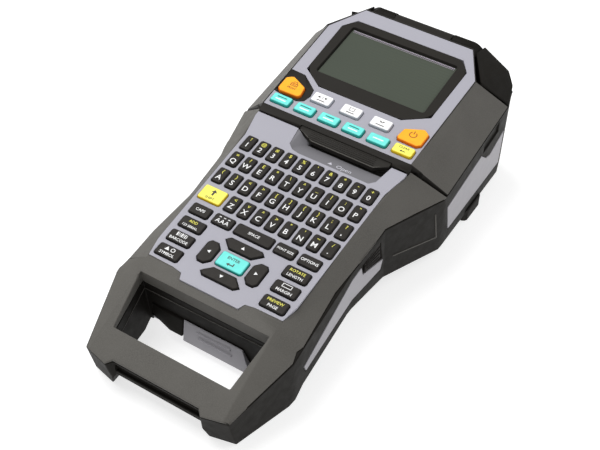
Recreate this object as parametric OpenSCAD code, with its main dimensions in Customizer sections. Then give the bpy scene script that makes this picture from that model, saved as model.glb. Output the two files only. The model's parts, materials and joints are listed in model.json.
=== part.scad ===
// Rugged handheld label printer with a keyboard, a carry handle and a flip-up display head.
// It is drawn in the deck frame: key tops on z = 0, number keys on y = 0, +Y towards the head.
// seat() then tilts it so that it stands on its handle corners and its two rubber feet.

/* [Body] */
// Half of the width of the display head
head_half = 65; // [64.6:0.1:65.4]
// Half of the width at the waist, beside the letter keys
waist_half = 50; // [49.6:0.1:50.4]
// Wall thickness of the two case halves
wall = 2.6; // [2.4:0.1:2.8]
// Gap along the seams between mouldings
seam = 0.3; // [0.2:0.05:0.4]
// Angle between the keyboard deck and the table
tilt = 10; // [9.5:0.1:10.5]

/* [Keys] */
// Spacing of the letter keys along a row
pitch_x = 8.3; // [8.2:0.05:8.4]
// Spacing of the letter rows
pitch_y = 13.45; // [13.4:0.05:13.5]
// Width of a letter key
letter_w = 6.3; // [6.1:0.1:6.5]
// Length of a letter key
letter_l = 10.7; // [10.5:0.1:10.9]
// Gap between a key and the panel around it
key_gap = 0.35; // [0.3:0.05:0.45]
// How far a key goes down
key_travel = 1.2; // [1:0.1:1.3]

/* [Display lid] */
// Height of the lid panel above the key tops
lid_top = 1.5; // [1.3:0.1:1.7]
// Width of the visible display
screen_w = 68; // [66:0.5:70]
// Height of the visible display
screen_l = 42.6; // [41:0.2:44]
// Radius of the hinge pin
pin_r = 1.5; // [1.4:0.05:1.6]

/* [Print mechanism] */
// Gear module
gear_m = 1; // [1:0.01:1.02]
// Radius of the rubber feed roller
platen_r = 5; // [4.8:0.1:5.2]
// Radius of a full roll of label tape
roll_r = 21; // [18:0.5:21.5]

/* [Hidden] */
$fn = 48;

// Heights in the deck frame
deck_z = -1.2;
panel_t = 2;
handle_y = -139.5;
handle_foot_z = -40.5;
rear_y = 143;
rim_z = -22.3;
bay_floor_z = -61.6;
head_front_y = 34;

// Hinge of the lid
hinge_y = 134;
hinge_z = -6;
barrel_r = 4.6;

// Feed gears in line behind the feed roller
feed_x = -40;
feed_y = 62;
pinion_teeth = 10;
drive_teeth = 37;
platen_teeth = 16;
gear_z = -65.95;
gear_t = 2.2;
drive_y = feed_y + gear_m * (platen_teeth + drive_teeth) / 2;
motor_y = drive_y + gear_m * (drive_teeth + pinion_teeth) / 2;

// Colours
warm_grey = [0.36, 0.35, 0.33];
black = [0.17, 0.16, 0.15];
light_grey = [0.77, 0.77, 0.81];
strip_grey = [0.64, 0.64, 0.66];
key_black = [0.2, 0.19, 0.18];
yellow = [0.98, 0.94, 0.4];
teal = [0.46, 0.9, 0.87];
orange = [1, 0.7, 0.2];
white = [0.93, 0.93, 0.95];
board_green = [0.1, 0.35, 0.2];
steel = [0.7, 0.7, 0.72];

// ---- Helpers -------------------------------------------------------------

// Height of the table under a point of the deck frame
function table_z(y) = handle_foot_z - (y - handle_y) * tan(tilt);

// Where a deck-frame point ends up along Y once tilted
function tilted_y(y, z) = y * cos(tilt) - z * sin(tilt);

// Stands the deck frame on the table, with the middle of its length at Y = 0
module seat() {
    front = tilted_y(handle_y - 3.2, -17.8);
    back = tilted_y(rear_y, -58);
    lift = -handle_y * sin(tilt) - handle_foot_z * cos(tilt);
    translate([0, -(front + back) / 2, lift]) rotate([tilt, 0, 0]) children();
}

// Right-hand outline points followed by the same points on the left
function both(half) =
    concat(half, [for (i = [len(half) - 1:-1:0]) [-half[i][0], half[i][1]]]);

// Rectangle with rounded corners, centred, as a list of points
function round_rect(w, l, r, steps = 4) = [
    for (q = [0:3], s = [0:steps])
        let (a = 90 * q + 90 * s / steps)
        [(w / 2 - r) * (q == 0 || q == 3 ? 1 : -1) + r * cos(a),
         (l / 2 - r) * (q < 2 ? 1 : -1) + r * sin(a)]
];

// Slab of an outline between two heights
module slab(points, low, high) {
    translate([0, 0, low]) linear_extrude(high - low) polygon(points);
}

// Side outline, given as [y, z] points, made wide along X
module side_slab(points, x0, x1) {
    translate([x0, 0, 0]) rotate([90, 0, 90]) linear_extrude(x1 - x0) polygon(points);
}

// Box between two corners
module box(low, high) {
    translate(low) cube(high - low);
}

// Smallest solid with flat faces around a set of points
module wrap(points) {
    hull() polyhedron(points, [[for (i = [0:len(points) - 1]) i]]);
}

// The same, for points on the right and their mirror images
module wrap_both(points) {
    wrap(concat(points, [for (p = points) [-p[0], p[1], p[2]]]));
}

// Solid through cross-sections that all have the same number of points
module loft(sections) {
    n = len(sections[0]);
    m = len(sections);
    points = [for (s = sections) each s];
    sides = [for (k = [0:m - 2], i = [0:n - 1]) each
        let (j = (i + 1) % n, a = k * n, b = a + n)
        [[a + j, a + i, b + j], [b + j, a + i, b + i]]];
    first = [for (i = [0:n - 1]) i];
    last = [for (i = [n - 1:-1:0]) (m - 1) * n + i];
    polyhedron(points, concat(sides, [first, last]));
}

// Shaft or hole along X
module rod_x(r, x0, x1, y, z) {
    translate([x0, y, z]) rotate([0, 90, 0]) cylinder(r = r, h = x1 - x0);
}

// Shaft or hole at right angles to the deck
module rod_z(r, x, y, z0, z1) {
    translate([x, y, z0]) cylinder(r = r, h = z1 - z0);
}

// ---- Outlines -----------------------------------------------------------

// Plan of the lower case: [x, y, inward x, inward y] along the right side
case_plan = [
    [41.7, handle_y, 0.9, -1.8], [52.5, -100, 1, 0], [waist_half, -40, 1, 0],
    [waist_half + 1.5, -8, 1, 0], [head_half, head_front_y, 1, 0],
    [head_half, 117, 1, 0.2], [head_half - 3.5, 130, 0.9, 0.5],
    [head_half - 9, 135, 0.6, 0.9], [31, rear_y, 0.2, 1]
];
function case_outline(d) = both([for (p = case_plan) [p[0] - d * p[2], p[1] - d * p[3]]]);

// The same outside, carried forward for the ends of the handle to be cut from
shell_outline = both(concat([[40.7, handle_y - 3.7]], [for (p = case_plan) [p[0], p[1]]]));

// Front face of a handle end, which leans back towards the table
function handle_front(x, z) = handle_y - 3.2 + 0.23 * (x - 27.8) - 0.107 * (z + 18);

// Facets of the upper case: [y, x of deck edge, z of deck edge, x of seam, z of seam]
stations = [
    [-146, 38.9, -18.8, 39.9, -19.6],
    [-100, 38.7, -4.4, 52.5, -12],
    [-90, 39.1, deck_z, 52.1, -11.4],
    [-40, 42, deck_z, waist_half, -11.5],
    [-8, 42.8, deck_z, waist_half + 1.5, -10.5],
    [head_front_y, 47, deck_z, head_half, -21.6],
    [44, 47.5, deck_z, head_half + 3.6, -24.8]
];

// Cross-section at a station, with its side facets carried on past the seam
facet_reach = 1.4;
function station(s, inset, drop) =
    let (top = s[2] - drop, low = min(s[2] + facet_reach * (s[4] - s[2]), top - 0.5),
        out_x = s[1] + facet_reach * (s[3] - s[1]) - inset, in_x = s[1] - inset / 2) [
        [-out_x, s[0], low], [-in_x, s[0], top], [in_x, s[0], top], [out_x, s[0], low]
    ];

// Seam between the two case halves, as [y, z]
seam_line = [for (i = [len(stations) - 1:-1:0]) [stations[i][0], stations[i][4]]];
function moved_up(points, d) = [for (p = points) [p[0], p[1] + d]];

// Opening that the hand goes through
function handle_opening(grow) = both([
    [33.8 + grow, -126.1 - grow], [37.7 + grow, -97.2 + grow]
]);

// Underside of the handle's front bar, between its two ends
bar_low = -29.8;

// Slanted ends of the handle, with a recess between them
module handle_front_cut() {
    for (side = [0, 1]) mirror([side, 0, 0])
        wrap([for (x = [20, 50], z = [-45, 0]) each
            [[x, handle_front(x, z), z], [x, handle_y - 20, z]]]);
    slab([[-28.6, -143.6], [-25, handle_y], [25, handle_y], [28.6, -143.6]], -60, 5);
}

// Outline of the keyboard panel, with its central tab over the handle
function deck_outline(grow) = both([
    [17 + grow, -92.8 - grow], [18.6 + grow, -89.2 - grow], [24, -88.2 - grow],
    [39.1 + grow, -87.9 - grow], [41 + grow, -77.5], [43 + grow, 5],
    [46.3 + grow, 21], [46.3 + grow, 23.6 + grow]
]);

// Finger recess under the latch
function recess_outline(grow) = [
    [-20.3 - grow, 23.7 + grow], [-18.6 - grow, 11.5], [-15.2 - 0.7 * grow, 8.6 - 0.7 * grow],
    [-11, 7.6 - grow], [32, 7.6 - grow], [34.9 + grow, 10.6], [37.3 + grow, 23.7 + grow]
];

// Lid seen from above: front corners, V-shaped rear corners and rear edge
lid_front_inner = [46.4, 28.3];
lid_front_outer = [64.9, 38.4];
lid_low = -21.8;
bar_front = 24.2;
lid_corner = [48.2, 102.8];
lid_rear = [35.7, 126];
function lid_panel_outline(d) = both([
    [46.2 - d, 28.5 + d], [lid_corner[0] - 0.3 - d, 102.8 - 0.5 * d],
    [lid_rear[0] - 0.2 - 0.6 * d, 125.8 - d]
]);

// Corner notch of the lid, filled by the case's hinge corner
function corner_notch(grow) = [
    [lid_corner[0] - 0.4 * grow, lid_corner[1] - grow],
    [82, 130.8 - 1.3 * grow], [82, 160], [lid_rear[0] - grow, 160],
    [lid_rear[0] - grow, lid_rear[1]]
];

// Display bezel, an octagon with a longer top
function bezel_outline(grow) = both([
    [26.1 + 0.4 * grow, 54.9 - grow], [39.5 + grow, 64.4 - 0.4 * grow],
    [40.6 + grow, 106.5], [34.5 + 0.4 * grow, 114.9 + grow]
]);

// Black surround of the print key, which reaches the left edge of the lid panel
function surround_outline(grow) = [
    [-52, 41.5 - grow], [-44, 39.6 - grow], [-31, 38.4 - grow], [-27.3 + grow, 40.6 - grow],
    [-25.9 + grow, 45.5], [-27 + grow, 51], [-37.5 + grow, 59 + grow], [-52, 59.8 + grow]
];

// Power key; the print key is its mirror image
function power_outline(grow) = [
    [30.2 - grow, 42.4], [31.2, 40.5 - grow], [43, 40.1 - grow], [45 + grow, 42],
    [45.2 + grow, 51.2], [41.4, 53.9 + grow], [31.2 - grow, 49 + grow]
];

// Arrow keys around the enter key
nav_y = -71.9;
function up_outline(grow) = [
    [-9.2, nav_y + 13.3 + grow], [-11.5 - grow, nav_y + 11.2], [-6.6, nav_y + 6.5 - grow],
    [6.6, nav_y + 6.5 - grow], [11.5 + grow, nav_y + 11.2], [9.2, nav_y + 13.3 + grow]
];
function right_outline(grow) = [
    [9.9 - grow, nav_y - 4.2], [12.6, nav_y - 7.1 - grow], [16.4, nav_y - 7.1 - grow],
    [17.9 + grow, nav_y - 5.2], [17.9 + grow, nav_y + 5.2], [16.4, nav_y + 7.1 + grow],
    [12.6, nav_y + 7.1 + grow], [9.9 - grow, nav_y + 4.2]
];

// Rectangular deck keys: [x, y, width, length]
letter_x0 = -4.5 * pitch_x;
shift_spec = [letter_x0 + pitch_x / 2, -3 * pitch_y, 13.9, 9.8];
caps_spec = [-32.6, -52.2, 11.6, 7.2];
accent_spec = [-18.6, -52.2, 11.6, 7.2];
space_spec = [0, -52.2, 22, 7.2];
font_size_spec = [18.6, -52.2, 11.6, 7.2];
text_options_spec = [32.6, -52.2, 11.6, 7.2];
serial_spec = [-31, -62, 14, 7.4];
barcode_spec = [-31, -72.1, 14, 7.4];
symbol_spec = [-31, -82.2, 14, 7.4];
length_spec = [31, -62, 14, 7.4];
margin_spec = [31, -72.1, 14, 7.4];
page_spec = [31, -82.2, 14, 7.4];
enter_spec = [0, nav_y, 15.8, 9.2];
deck_specs = [
    shift_spec, caps_spec, accent_spec, space_spec, font_size_spec, text_options_spec,
    serial_spec, barcode_spec, symbol_spec, length_spec, margin_spec, page_spec, enter_spec
];

// Rectangular lid keys: [x, y, width, length]
function mode_spec(i) = [-38.1 + 15.25 * i, 34.7, 12, 6.8];
function menu_spec(i) = [-18.6 + 18.6 * i, 46.1, 12, 7.5];

// Screws that hold the case halves together: [x, y, height of the tip]
screw_places = [[42.6, -112, -11.6], [42, -62, -5.4], [49.5, 14, -8.6]];

// ---- Keys ---------------------------------------------------------------

cap_low = -6.6;
lid_cap_low = -3.6;
lid_cap_high = lid_top + 1.7;

module spec_2d(s, grow) {
    translate([s[0], s[1]])
        polygon(round_rect(s[2] + 2 * grow, s[3] + 2 * grow, 1.3 + grow));
}

module letter_2d(col, row, grow) {
    spec_2d([letter_x0 + col * pitch_x, -row * pitch_y, letter_w, letter_l], grow);
}

module deck_cap(s) {
    translate([0, 0, cap_low]) linear_extrude(-cap_low) spec_2d(s, 0);
}

module letter_row(row, first) {
    color(key_black)
    for (col = [first:9])
        translate([0, 0, cap_low]) linear_extrude(-cap_low) letter_2d(col, row, 0);
}

module lid_cap(s) {
    translate([0, 0, lid_cap_low]) linear_extrude(lid_cap_high - lid_cap_low) spec_2d(s, 0);
}

module number_keys() { letter_row(0, 0); }
module qwerty_keys() { letter_row(1, 0); }
module asdf_keys() { letter_row(2, 0); }
module zxcv_keys() { letter_row(3, 2); }
module shift_key() { color(yellow) deck_cap(shift_spec); }
module caps_key() { color(key_black) deck_cap(caps_spec); }
module accent_key() { color(key_black) deck_cap(accent_spec); }
module space_key() { color(key_black) deck_cap(space_spec); }
module font_size_key() { color(key_black) deck_cap(font_size_spec); }
module text_options_key() { color(key_black) deck_cap(text_options_spec); }
module serial_key() { color(key_black) deck_cap(serial_spec); }
module barcode_key() { color(key_black) deck_cap(barcode_spec); }
module symbol_key() { color(key_black) deck_cap(symbol_spec); }
module length_key() { color(key_black) deck_cap(length_spec); }
module margin_key() { color(key_black) deck_cap(margin_spec); }
module page_key() { color(key_black) deck_cap(page_spec); }
module enter_key() { color(teal) deck_cap(enter_spec); }
module up_key() { color(key_black) slab(up_outline(0), cap_low, 0); }
module down_key() {
    color(key_black) translate([0, 2 * nav_y, 0]) mirror([0, 1, 0])
        slab(up_outline(0), cap_low, 0);
}
module right_key() { color(key_black) slab(right_outline(0), cap_low, 0); }
module left_key() { color(key_black) mirror([1, 0, 0]) slab(right_outline(0), cap_low, 0); }
module power_key() { color(orange) slab(power_outline(0), lid_cap_low, lid_cap_high); }
module print_key() {
    color(orange) mirror([1, 0, 0]) slab(power_outline(0), lid_cap_low, lid_cap_high);
}
module mode_key(i) { color(teal) lid_cap(mode_spec(i)); }
module clear_key() { color(yellow) lid_cap(mode_spec(5)); }
module menu_key(i) { color(white) lid_cap(menu_spec(i)); }

// Every key opening of the keyboard panel
module deck_openings_2d() {
    for (row = [0:3], col = [row == 3 ? 2 : 0:9]) letter_2d(col, row, key_gap);
    for (s = deck_specs) spec_2d(s, key_gap);
    polygon(up_outline(key_gap));
    translate([0, 2 * nav_y]) mirror([0, 1]) polygon(up_outline(key_gap));
    polygon(right_outline(key_gap));
    mirror([1, 0]) polygon(right_outline(key_gap));
}

// Every key opening of the lid panel, without the print key's
module lid_openings_2d() {
    for (i = [0:5]) spec_2d(mode_spec(i), key_gap);
    for (i = [0:2]) spec_2d(menu_spec(i), key_gap);
    polygon(power_outline(key_gap));
}

// ---- Keyboard half --------------------------------------------------------

// Everything in front of the lid's slanted front edge
module before_lid(d) {
    slab([[-70, -150], [70, -150], [70, 39.3 - d], [46.9, 26.8 - d],
        [-46.9, 26.8 - d], [-70, 39.3 - d]], -60, 10);
}

module upper_case() {
    color(warm_grey)
    difference() {
        union() {
            difference() {
                intersection() {
                    loft([for (s = stations) station(s, 0, 0)]);
                    slab(shell_outline, -60, 10);
                    before_lid(0);
                    side_slab(concat(moved_up(seam_line, seam / 2), [[-146, 20], [44, 20]]),
                        -80, 80);
                }
                difference() {
                    intersection() {
                        loft([for (s = stations) station(s, wall * 1.15, 4.2)]);
                        slab(case_outline(wall), -60, 10);
                        before_lid(wall);
                    }
                    slab(handle_opening(wall), -60, 10);
                    for (side = [-1, 1], p = screw_places)
                        rod_z(3.6, side * p[0], p[1], -13.2, 0);
                }
            }
            // Floor and back wall of the pocket behind the finger recess
            box([-23, 15.5, -11.6], [40, 26.8, -10.2]);
            box([-23, 25, -11.6], [40, 26.8, -6]);
        }
        slab(handle_opening(0), -60, 10);
        handle_front_cut();
        slab(deck_outline(0.15), deck_z - panel_t - 0.1, 5);
        // Window under the keyboard panel
        slab(both([
            [35, -86.6], [38.6, -86.3], [39, -47.8], [41.1, -46.4], [41.5, 4], [42.5, 20.5]
        ]), -8, 5);
        slab(recess_outline(1.6), -10.2, 5);
        // Sill under the front bar of the lid
        box([-46.9, 23.5, -5.2], [46.9, 40, 5]);
        for (side = [-1, 1], p = screw_places)
            rod_z(1.3, side * p[0], p[1], -14, p[2] + 0.4);
    }
}

module deck_panel() {
    color(light_grey) {
        difference() {
            slab(deck_outline(0), deck_z - panel_t, deck_z);
            translate([0, 0, -10]) linear_extrude(20) deck_openings_2d();
            slab(recess_outline(0), -20, 5);
        }
        // Scooped floor of the finger recess, which slopes down from the front and the left
        difference() {
            slab(recess_outline(1.2), -7.6, deck_z - 0.4);
            slab([[-60, 23.6], [60, 23.6], [60, 40], [-60, 40]], -9, 0);
            slab(latch_outline(0.8), -4.2, 0);
            intersection() {
                slab(recess_outline(0), -20, 5);
                side_slab([[5, 1], [6.5, -1], [7.6, -1.5], [17.8, -4.9], [17.8, -9], [30, -9],
                    [30, 1]], -60, 60);
                translate([0, 31, 0]) rotate([90, 0, 0]) linear_extrude(26)
                    polygon([[-22, 1], [-19.4, -1], [-16.6, -2.2], [-11.4, -5.6], [-10.6, -9],
                        [45, -9], [45, 1]]);
            }
        }
    }
}

module key_mat() {
    color(key_black) slab(both([[33, -87.5], [37.2, -85], [37.8, -40], [38.4, 7.4]]), -9.6, -8);
}

module main_board() {
    color(board_green)
    difference() {
        slab(both([[34, -89.5], [37.2, -84], [37.2, 14.6]]), -11.3, -9.7);
        for (side = [-1, 1], y = [-82, 11]) rod_z(1.6, side * 33, y, -12, -9);
    }
}

// ---- Lower case -----------------------------------------------------------

// Underside from the handle to the back of the head, as [y, z]
underside = [
    [handle_y - 3.5, table_z(handle_y - 3.5)], [-104, table_z(-104)], [-92, -42], [-45, -42],
    [-7, -52], [38, -66.5], [128, -80.5], [139.5, -71], [rear_y, -58]
];
inner_underside = [
    [handle_y - 1, handle_foot_z + wall], [-104, table_z(-104) + wall], [-92, -42 + wall],
    [-45, -42 + wall], [-7, -52 + wall], [38, -66.5 + wall], [127, -80.5 + wall],
    [137, -70.5 + wall], [rear_y, -57]
];

// Label slot in the left wall
slot_low = -60.5;
slot_high = -24;
module label_slot(grow) {
    box([-head_half - 5, 64 - grow, slot_low - grow], [-head_half + 8, 71 + grow, slot_high + grow]);
}

// Pads on the sides where the grey strips lie, as [y, z]
function head_strip(grow) = [
    [40.5 - grow, -34.3 + grow], [45 - grow, -57.5 - grow], [116.2 + grow, -68.6 - grow],
    [116.2 + grow, -41 + grow], [98 + grow, -45 + grow], [92, -42.5 + grow], [84, -33.4 + grow]
];
function waist_strip(grow) = [
    [-90.5 - grow, -27.8 + grow], [-40, -18 + grow], [-31.4, -17.2 + grow],
    [-29.6, -24.8 + grow], [-9.5 + grow, -33.8 + grow], [-11.5 + grow, -40.4 - grow],
    [-40, -35 - grow], [-89 - grow, -33.2 - grow]
];

module side_skin(points, depth, proud) {
    intersection() {
        difference() {
            slab(case_outline(-proud), -90, 0);
            slab(case_outline(depth), -91, 1);
        }
        side_slab(points, -80, 80);
    }
}

// Hinge corner behind each side of the lid; drop is 1 for the lower one on the left
module hinge_corner(d, drop) {
    h = 0.8 * d;
    wrap([
        [50.2 - h, 105.3 + d, -0.4 - 1.4 * d], [37 + h, 127.4 + h, -1.4 - 1.4 * d],
        [37 + h, 140.6 - d, -6.5 - d], [head_half - 9 - h, 134.6 - d, -12 - 8.6 * drop - d],
        [head_half - 3.7 - d, 129.8 - d, -17 - 6.6 * drop - d],
        [head_half - 0.2 - d, 118.2, -21.4 - 2.2 * drop - 1.4 * d],
        [50.2 - h, 105.3 + d, -24 - d], [37 + h, 127.4 + h, -24 - d], [37 + h, 140.6 - d, -24 - d],
        [head_half - 9 - h, 134.6 - d, -24 - d], [head_half - 3.7 - d, 129.8 - d, -24 - d],
        [head_half - 0.2 - d, 118.2, -24 - d]
    ]);
}

module lower_case() {
    color(black)
    difference() {
        union() {
            difference() {
                intersection() {
                    slab(shell_outline, -90, 0);
                    side_slab(concat(underside, [[rear_y, -14.5], [136.5, -13], [136.5, rim_z]],
                        [[36, rim_z]], [for (i = [1:len(seam_line) - 1])
                            [seam_line[i][0], seam_line[i][1] - seam / 2]]), -80, 80);
                }
                difference() {
                    intersection() {
                        slab(case_outline(wall), -90, 5);
                        side_slab(concat(inner_underside, [[rear_y, 2], [-150, 2]]), -80, 80);
                    }
                    slab(handle_opening(wall), -60, 0);
                    // Screw columns
                    for (side = [-1, 1], p = screw_places)
                        rod_z(4.2, side * p[0], p[1], -70, -14);
                    // Wall between the electronics and the tape bay
                    box([-70, head_front_y + 1, -90], [70, head_front_y + 3, rim_z - 1]);
                    // Floor of the tape bay
                    box([-70, head_front_y, bay_floor_z - 1.8], [70, 150, bay_floor_z]);
                }
            }
            for (side = [0, 1]) mirror([side, 0, 0]) {
                difference() {
                    hinge_corner(0, side);
                    hinge_corner(2, side);
                }
                difference() {
                    union() {
                        rod_x(barrel_r, 19.3, 38.2, hinge_y, hinge_z);
                        box([19.3, 131, -24], [38.2, hinge_y + barrel_r, hinge_z]);
                    }
                    box([21.5, 133, -25], [36, hinge_y + barrel_r - 2, -13.5]);
                    // Slope from the barrel down to the hinge corner
                    translate([0, 145, 0]) rotate([90, 0, 0]) linear_extrude(20)
                        polygon([[28, 0.1], [39, -8.7], [39, 2], [28, 2]]);
                }
            }
            // Floor of the handle's front bar
            box([-36.5, -137, -40], [36.5, -125.5, bar_low + 2.2]);
            // Spindles of the tape roll, the drive gear and the print head
            rod_z(2.95, 20.5, 81, bay_floor_z - 0.5, -57.6);
            rod_z(2, feed_x, drive_y, -72.5, bay_floor_z - 0.9);
            rod_z(1.55, -27.5, 72.6, bay_floor_z - 0.5, -24);
        }
        slab(handle_opening(0), -60, 5);
        handle_front_cut();
        // Front grip groove and raised middle of the handle
        box([-24.6, handle_y - 1, bar_low + 3], [24.6, handle_y + 1.9, -20.6]);
        translate([0, -126, 0]) rotate([90, 0, 0]) linear_extrude(30)
            polygon([[-24.6, bar_low], [24.6, bar_low], [26.4, bar_low - 2.6],
                [34.6, -60], [-34.6, -60], [-26.4, bar_low - 2.6]]);
        // Battery door track and the bay behind it
        box([-35.8, -99, -50], [35.8, -43.7, -39.6]);
        box([-34.6, -93, -45], [34.6, -45.5, -36]);
        label_slot(0);
        side_skin(head_strip(0.2), 1.5, 3);
        side_skin(waist_strip(0.2), 1.5, 3);
        // Shallow panel in the right side under the lid
        box([head_half - 1.2, 86, -33], [head_half + 5, 106, -24.5]);
        // Port recess in the right side, and the two connectors' holes behind it
        side_slab(port_recess(0.2), waist_half - 0.6, 80);
        box([waist_half - 6, -26, -24], [waist_half + 5, -20, -19.5]);
        rod_x(2.6, waist_half - 6, waist_half + 5, -15.5, -22);
        for (side = [-1, 1], p = screw_places) {
            rod_z(1.6, side * p[0], p[1], -80, -10);
            rod_z(3.1, side * p[0], p[1], -80, -22);
        }
        rod_x(pin_r + 0.02, -30.5, 30.5, hinge_y, hinge_z);
        // Spindle holes in the bay floor
        rod_z(2.55, feed_x, feed_y, -66, -60);
        rod_z(3.4, feed_x, motor_y, -66, -60);
    }
    // Fixed half of the step over the battery door
    color(black) wrap([
        [-36, -95.5, -39.3], [-36, -97.4, -39.3], [-22, -101.3, -39.3], [-14.4, -101.3, -39.3],
        [-14.4, -98.3, -28], [-25, -98.3, -28], [-34, -97.4, -28], [-34, -95.5, -28],
        [-14.4, -95.5, -28], [-14.4, -95.5, -39.3]
    ]);
}

module head_trims() {
    color(strip_grey)
    difference() {
        side_skin(head_strip(0), 1.3, 0.15);
        label_slot(0.4);
    }
}

module waist_trims() { color(strip_grey) side_skin(waist_strip(0), 1.3, 0.15); }

// Pocket for the connectors' flap, as [y, z]
function port_recess(grow) = [
    [-28.4 - grow, -23.4 - grow], [-29.4 - grow, -17.2 + grow], [-12.2 + grow, -16.6 + grow],
    [-10.8 + grow, -31.2 - grow]
];

module port_cover() {
    color(black) {
        side_slab(port_recess(-0.15), waist_half - 0.4, waist_half + 0.8);
        // Ribs along the flap
        for (k = [0:3])
            side_slab([
                [-27.4, -22.4 + 1.4 * k], [-27.4, -21.9 + 1.4 * k],
                [-12.6, -28.4 + 3 * k], [-12.6, -28.9 + 3 * k]
            ], waist_half + 0.5, waist_half + 1.3);
        // Hinge bead along the front edge
        rod_z(0.6, waist_half + 1.2, -28.9, -23, -17.6);
    }
}

// Foot under each side of the head, which laps up onto the side wall
module rear_feet() {
    color(key_black)
    for (side = [0, 1]) mirror([side, 0, 0])
        difference() {
            intersection() {
                translate([58.6, 80.5, 0]) slab(round_rect(15.8, 22, 4), -100, -60);
                side_slab([[69, table_z(69)], [92, table_z(92)], [92, -72], [69, -68.5]], 0, 80);
            }
            intersection() {
                slab(case_outline(-0.05), -100, 0);
                side_slab([[30, -65.31], [100, -76.2], [100, 0], [30, 0]], 0, 80);
            }
        }
}

module battery_cover() {
    color(strip_grey) {
        slab(both([[35.5, -97.5], [35.5, -44]]), -42, -39.9);
        wrap([
            [-14, -97.5, -42], [-14, -101.5, -42], [24.5, -101.5, -42], [24.8, -100.3, -37],
            [21, -98.3, -28], [-14, -98.3, -28], [-14, -97.5, -28], [21, -97.5, -28],
            [25, -97.5, -37], [25, -97.5, -42]
        ]);
        // Finger ribs
        for (k = [0, 1])
            box([k - 5.5, -99.8 - 0.9 * k, -31.9 - 3.6 * k], [14.5 + k, -97.5, -30.9 - 3.6 * k]);
    }
}

module battery_pack() {
    color(key_black)
    translate([0, -69.2, -39.4]) linear_extrude(21) polygon(round_rect(68.4, 46.6, 3));
}

module screw(x, y, tip) {
    translate([x, y, 0]) {
        difference() {
            rod_z(2.8, 0, 0, -24, -22.05);
            translate([0, 0, -24.1]) cylinder(r = 1.4, h = 1.1, $fn = 6);
        }
        rod_z(1.25, 0, 0, -22.5, tip);
    }
}

module case_screws() {
    color(steel)
    for (side = [-1, 1], p = screw_places) screw(side * p[0], p[1], p[2]);
}

module hinge_pin() { color(steel) rod_x(pin_r, -30, 30, hinge_y, hinge_z); }

// ---- Tape and printing ----------------------------------------------------

cartridge_low = bay_floor_z + 0.3;
cartridge_high = -17;
function cartridge_outline(d) = [
    [-24 + d, 52 + d], [44 - d, 52 + d], [44 - d, 98 - 0.4 * d], [38.5 - 0.7 * d, 110 - d],
    [-24 + d, 110 - d]
];

module tape_cartridge() {
    color([0.86, 0.86, 0.84])
    difference() {
        union() {
            difference() {
                slab(cartridge_outline(0), cartridge_low, cartridge_high);
                slab(cartridge_outline(1.6), cartridge_low + 1.6, cartridge_high - 1.6);
            }
            // Spindles of the two spools
            rod_z(3.9, 20.5, 81, cartridge_low + 1, cartridge_high - 1);
            rod_z(2.4, -12, 98, cartridge_low + 1, cartridge_high - 1);
        }
        rod_z(3, 20.5, 81, cartridge_low - 1, -57);
        // Mouth where the tape leaves towards the feed roller
        box([-26, 62, -60], [-20, 74, -22]);
        // Window that shows how much tape is left
        slab([[2, 90], [39, 90], [39, 94], [2, 94]], cartridge_high - 3, cartridge_high + 1);
    }
}

module tube_z(r, hole, x, y, z0, z1) {
    difference() {
        rod_z(r, x, y, z0, z1);
        rod_z(hole, x, y, z0 - 1, z1 + 1);
    }
}

module tape_spool() {
    color(white) tube_z(min(roll_r, 21.5), 3.98, 20.5, 81, cartridge_low + 2.4, cartridge_high - 2.4);
}

module ribbon_spool() {
    color(key_black) tube_z(8.5, 2.48, -12, 98, cartridge_low + 2.4, cartridge_high - 2.4);
}

// Spur gear with straight-sided teeth
module gear_2d(teeth) {
    pitch_r = gear_m * teeth / 2;
    root_r = pitch_r - 1.2 * gear_m;
    tip_r = pitch_r + 0.9 * gear_m;
    step = 360 / teeth;
    polygon([for (i = [0:teeth - 1]) each
        let (a = i * step) [
            root_r * [cos(a - 0.3 * step), sin(a - 0.3 * step)],
            tip_r * [cos(a - 0.09 * step), sin(a - 0.09 * step)],
            tip_r * [cos(a + 0.09 * step), sin(a + 0.09 * step)],
            root_r * [cos(a + 0.3 * step), sin(a + 0.3 * step)]
        ]]);
}

module gear(teeth, y, turn) {
    translate([feed_x, y, gear_z]) rotate([0, 0, turn]) linear_extrude(gear_t) gear_2d(teeth);
}

module platen_roller() {
    color(key_black) {
        rod_z(platen_r, feed_x, feed_y, -60.5, -23.5);
        rod_z(2.5, feed_x, feed_y, gear_z + 1, -21.5);
        gear(platen_teeth, feed_y, 0);
    }
}

module drive_gear() {
    color(white)
    difference() {
        gear(drive_teeth, drive_y, 90);
        rod_z(2.05, feed_x, drive_y, -80, -60);
        for (a = [0:60:300])
            translate([feed_x, drive_y, gear_z - 1]) rotate([0, 0, a]) translate([10, 0, 0])
                cylinder(r = 3, h = gear_t + 2);
    }
}

module motor_pinion() {
    color(steel)
    difference() {
        union() {
            gear(pinion_teeth, motor_y, 90 + 180 / pinion_teeth);
            rod_z(2.8, feed_x, motor_y, gear_z, -62);
        }
        rod_z(1.05, feed_x, motor_y, -80, -50);
    }
}

module feed_motor() {
    color(steel) {
        rod_z(12, feed_x, motor_y, bay_floor_z + 0.2, -33);
        rod_z(1, feed_x, motor_y, gear_z + 0.4, -60);
        rod_z(4, feed_x, motor_y, -34, -31.5);
    }
}

module print_head() {
    color(steel)
    difference() {
        union() {
            box([-49, 68.6, -59.5], [-29, 71.2, -25]);
            box([-33, 70.6, -59.5], [-25, 74.4, -25]);
        }
        rod_z(1.6, -27.5, 72.6, -70, -20);
    }
}

module cutter_blade() {
    color(steel) {
        box([-55, 72.4, -60.8], [-54, 88, -24]);
        box([-57.5, 84, -60.8], [-51.5, 92, -24]);
    }
}

// ---- Display lid ----------------------------------------------------------

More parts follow.
